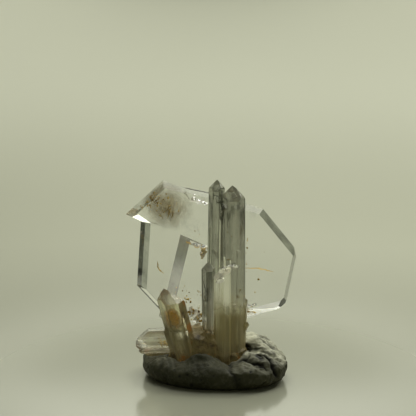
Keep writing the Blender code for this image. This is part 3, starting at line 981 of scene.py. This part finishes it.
def front_fold(place):
    """The shallow fold that runs down the putty's front."""
    start, line = Vector((3.3, 5.9)), Vector((2.5, -5.6))
    offset = Vector((place.x, place.z)) - start
    along = offset.dot(line) / line.length_squared
    if place.y > -4 or not 0 < along < 1:
        return 0.0
    wander = 0.5 * noise.noise(Vector((place.z * 0.8, 7, 4)))
    aside = (offset.x * line.y - offset.y * line.x) / line.length + wander
    return 0.4 * math.sin(math.pi * along) ** 0.5 * math.exp(-((aside / 0.45) ** 2))


def putty_relief(place, normal, pits, split):
    """How far the putty's skin stands in or out here, in millimetres."""
    soft = 0.28 * noise.noise(place * 0.5) + 0.13 * noise.noise(place * 1.2) - front_fold(place)
    rough_area = 0.5 + 0.5 * math.tanh(place.x - 4.0 + 0.5 * (place.z - 5.0))
    rough = rough_area * (0.36 * noise.noise(place * 0.62) + 0.13 * noise.noise(place * 1.9))
    rough -= rough_area * 0.10 * abs(noise.noise(place * 4.2))
    sunk = crease_depth(place, normal) + pit_depth(place, pits) + split_depth(place, split)
    return soft + rough - sunk


def putty_material():
    """Dark kneaded putty with finger-prints: lighter where it faces up, from dust and painted
    light, and near black in its hollows, which is painted shade.
    """
    nodes = Nodes("mineral_putty")
    broad = nodes.noise(130, 3.0)
    grain = nodes.noise(1600, 5.0, 0.7)
    smudge = nodes.noise(420, 4.0, 0.65)
    tone = nodes.ramp(broad, [
        (0.3, (0.020, 0.021, 0.007)), (0.5, (0.040, 0.041, 0.018)), (0.7, (0.068, 0.067, 0.034)),
    ])
    tone = nodes.mix(nodes.span(smudge, 0.5, 0.75), tone, (0.080, 0.079, 0.045))
    waves = nodes.add("ShaderNodeTexWave", bands_direction="DIAGONAL")
    waves.inputs["Scale"].default_value = 820
    waves.inputs["Distortion"].default_value = 2.0
    waves.inputs["Detail"].default_value = 1.0
    waves.inputs["Detail Scale"].default_value = 0.25
    nodes.feed(waves.inputs["Vector"], nodes.stretch(nodes.position, (0.75, 0.35, -0.55)))
    ridges = nodes.product(waves.outputs["Fac"], nodes.attribute("print"))
    # Where it faces up the putty is lighter: partly dust, partly painted light.
    dust_and_painted_light = nodes.product(nodes.attribute("dust_and_painted_light"), nodes.span(smudge, 0.24, 0.56))
    tone = nodes.mix(dust_and_painted_light, tone, (0.66, 0.65, 0.52))
    speckle = nodes.ramp(grain, [(0.50, 0.0), (0.72, 1.0)])
    tone = nodes.mix(nodes.product(speckle, 0.30), tone, (0.20, 0.195, 0.155))
    tone = nodes.mix(nodes.product(ridges, 0.9), tone, (0.15, 0.148, 0.105))
    # Its hollows are darkened almost to black by the deep attribute: painted shade.
    nodes.value(
        Base_Color=nodes.mix(nodes.attribute("deep"), tone, (0.012, 0.012, 0.008)),
        Roughness=nodes.total(nodes.product(smudge, 0.35), 0.36),
        Specular_IOR_Level=0.3,
        Normal=nodes.bump(ridges, 1.0, 0.0002, nodes.bump(grain, 0.45, 0.0003)),
    )
    return nodes.material


def make_putty():
    """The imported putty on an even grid, with what fingers left on it, kept inside its box."""
    source = frame["nodes"]["putty_base"]
    rough = new_object("putty_skin", source.data.copy())
    step = rough.modifiers.new("even_skin", "REMESH")
    step.mode = "VOXEL"
    step.voxel_size = PUTTY_GRID
    bpy.context.view_layer.update()
    shaped = rough.evaluated_get(bpy.context.evaluated_depsgraph_get())
    even = bpy.data.meshes.new_from_object(shaped)
    bpy.data.objects.remove(rough)
    low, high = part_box("putty_base")
    marks = ("dust_and_painted_light", "deep", "print")
    for name in marks:
        even.attributes.new(name, "FLOAT", "POINT")
    dust_and_painted_light, deep, finger = (even.attributes[name].data for name in marks)
    normals = [vertex.normal.copy() for vertex in even.vertices]
    skin = skin_of(even)
    pits, split = find_pits(skin), find_split(skin)
    for vertex, normal in zip(even.vertices, normals):
        place = vertex.co / MM
        keep = min(1.0, max(0.0, place.z - 0.15) / 0.6)
        moved = place + normal * putty_relief(place, normal, pits, split) * keep
        for n in range(3):
            moved[n] = min(max(moved[n], low[n] / MM), high[n] / MM)
        vertex.co = moved * MM
        # Lighter where it faces up, mostly to the right and behind: partly dust, partly painted
        # light from the lamps above, behind and to the right.
        right = 0.5 + 0.5 * math.tanh((place.x - 5.0) * 0.6)
        upward = min(1.0, max(0.0, normal.z * 2.6 - 0.9 + normal.y * 0.8))
        behind = 0.5 + 0.5 * math.tanh((place.y + 3.2) * 0.9)
        dust_and_painted_light[vertex.index].value = (0.08 + 0.92 * right) * (0.2 + 0.8 * behind) * upward
        # Painted shade: the creases, pits, fold and split are darkened in step with how far they
        # sink.
        sunk = crease_depth(place, normal) + 1.8 * pit_depth(place, pits)
        sunk += 0.6 * front_fold(place) + 0.5 * split_depth(place, split)
        deep[vertex.index].value = min(1.0, max(0.0, sunk / 0.3))
        finger[vertex.index].value = finger_print(place)
    made = piece("mineral_putty", even, putty_material(), True)
    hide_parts("putty_base")


def stage_material():
    """Pale paper, glossier near the part, with painted shade towards the sides and front of the
    room and painted light where it rises into the wall.
    """
    nodes = Nodes("pale_sweep")
    across = nodes.math("ABSOLUTE", nodes.axis("X"))
    aside = nodes.difference(across, nodes.product(nodes.axis("Y"), 0.55))
    # Painted shade: the wall darkens towards the sides and front.
    dim = nodes.product(nodes.span(aside, -0.02, 0.12), nodes.span(nodes.axis("Z"), 0.002, 0.06))
    mottle = nodes.ramp(nodes.noise(9, 2.0), [(0.3, 0.97), (0.7, 1.0)])
    # Painted light: the paper lightens as it rises from the floor into the wall.
    raised = nodes.span(nodes.axis("Z"), 0.0, 0.045)
    pale = nodes.mix(raised, (0.525, 0.53, 0.435), (0.685, 0.69, 0.59))
    squares = [nodes.math("POWER", nodes.axis(letter), 2.0) for letter in "XY"]
    far = nodes.span(nodes.math("SQRT", nodes.total(*squares)), 0.03, 0.09)
    nodes.value(
        Base_Color=nodes.tint(nodes.mix(dim, pale, (0.20, 0.20, 0.165)), mottle),
        Roughness=nodes.total(nodes.product(far, 0.6), 0.16),
    )
    return nodes.material


def make_stage():
    """A round floor that curves up into a wall, the same from every side but for the painted shade
    and light in its tone.
    """
    flat, bend, top, bend_steps = 0.14, 0.18, 0.34, 16
    profile = [(0.0, 0.0), (0.06, 0.0), (flat, 0.0)]
    for step in range(1, bend_steps + 1):
        turn = math.radians(90 * step / bend_steps)
        profile.append((flat + bend * math.sin(turn), bend * (1 - math.cos(turn))))
    profile.append((flat + bend, top))
    bm = bmesh.new()
    points = [bm.verts.new((x, 0, z)) for x, z in profile]
    edges = [bm.edges.new(pair) for pair in zip(points, points[1:])]
    bmesh.ops.spin(
        bm, geom=points + edges, cent=(0, 0, 0), axis=(0, 0, 1), dvec=(0, 0, 0),
        angle=2 * math.pi, steps=96, use_merge=True,
    )
    bmesh.ops.remove_doubles(bm, verts=bm.verts, dist=1e-6)
    bmesh.ops.recalc_face_normals(bm, faces=bm.faces)
    for face in bm.faces:
        face.smooth = True
    sweep = new_object("studio_sweep", mesh_from("studio_sweep", bm))
    sweep.data.materials.append(stage_material())


def make_light(name, place, target, size, power):
    """A softbox that hangs at a place and faces its target, with its power in watts."""
    data = bpy.data.lights.new(name, "AREA")
    data.shape = "RECTANGLE"
    data.size, data.size_y = size
    data.energy = power
    data.color = LAMP_COLOUR
    light = new_object(name, data)
    light.location = Vector(place)
    light.rotation_euler = (Vector(target) - Vector(place)).to_track_quat("-Z", "Y").to_euler()


def make_lights():
    make_light("overhead_softbox", (0, 0.06, 0.36), (0, 0.03, 0.0), (0.26, 0.2), 0.33)
    make_light("rear_softbox", (0, 0.24, 0.19), (0, 0.0, 0.06), (0.32, 0.2), 0.36)
    make_light("right_softbox", (0.17, 0.13, 0.20), (0.01, 0.0, 0.01), (0.08, 0.1), 0.15)
    world = bpy.data.worlds.new("studio")
    bpy.context.scene.world = world
    world.use_nodes = True
    background = world.node_tree.nodes["Background"]
    background.inputs["Color"].default_value = (*ROOM_COLOUR, 1)
    background.inputs["Strength"].default_value = 0.05


def make_camera():
    distance = FRAME_WIDTH / CAMERA_SENSOR * CAMERA_LENS
    data = bpy.data.cameras.new("camera")
    data.lens = CAMERA_LENS
    data.sensor_width = CAMERA_SENSOR
    data.clip_start = 0.001
    camera = new_object("camera", data)
    camera.location = CAMERA_AIM - CAMERA_AHEAD * distance
    camera.rotation_euler = (math.pi / 2 - CAMERA_ELEVATION, 0, 0)
    bpy.context.scene.camera = camera


make_camera()
QUARTZ_SKIN = make_quartz()
make_flecks()
make_films()
make_putty()
make_stage()
make_lights()
bpy.context.scene.view_settings.view_transform = "Standard"
